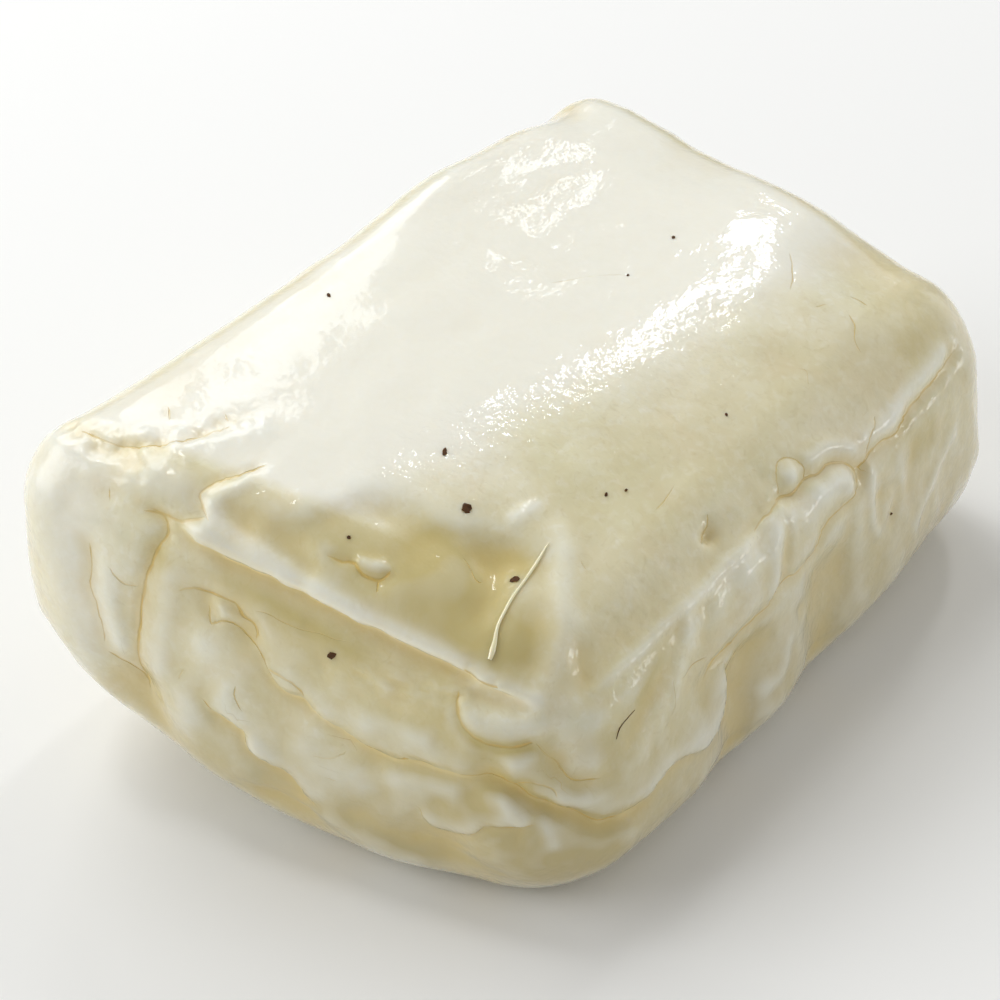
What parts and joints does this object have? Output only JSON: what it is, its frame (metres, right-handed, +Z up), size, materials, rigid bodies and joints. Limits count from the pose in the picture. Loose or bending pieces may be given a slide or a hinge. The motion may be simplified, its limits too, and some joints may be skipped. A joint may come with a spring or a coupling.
{
  "type": "block of halloumi cheese",
  "caption": "Uncut block of white brined cheese with a flat top, folded layers and creases on one end and one side, and a flat underside to rest on.",
  "frame": {"origin": "centre of the block's box on the surface it rests on", "axes": "+X along the block's length, away from the end that shows the fold; +Y across its width, away from the side that shows the fold; +Z up from the face it rests on"},
  "size_m": [0.1026, 0.0666, 0.0433],
  "materials": {
    "curd": "wet ivory-white curd, soft gloss, paler on the rims of its folds and yellower in the creases, with a few dark mint flecks"
  },
  "bodies": {
    "root": {"halloumi": "curd"}
  },
  "joints": []
}
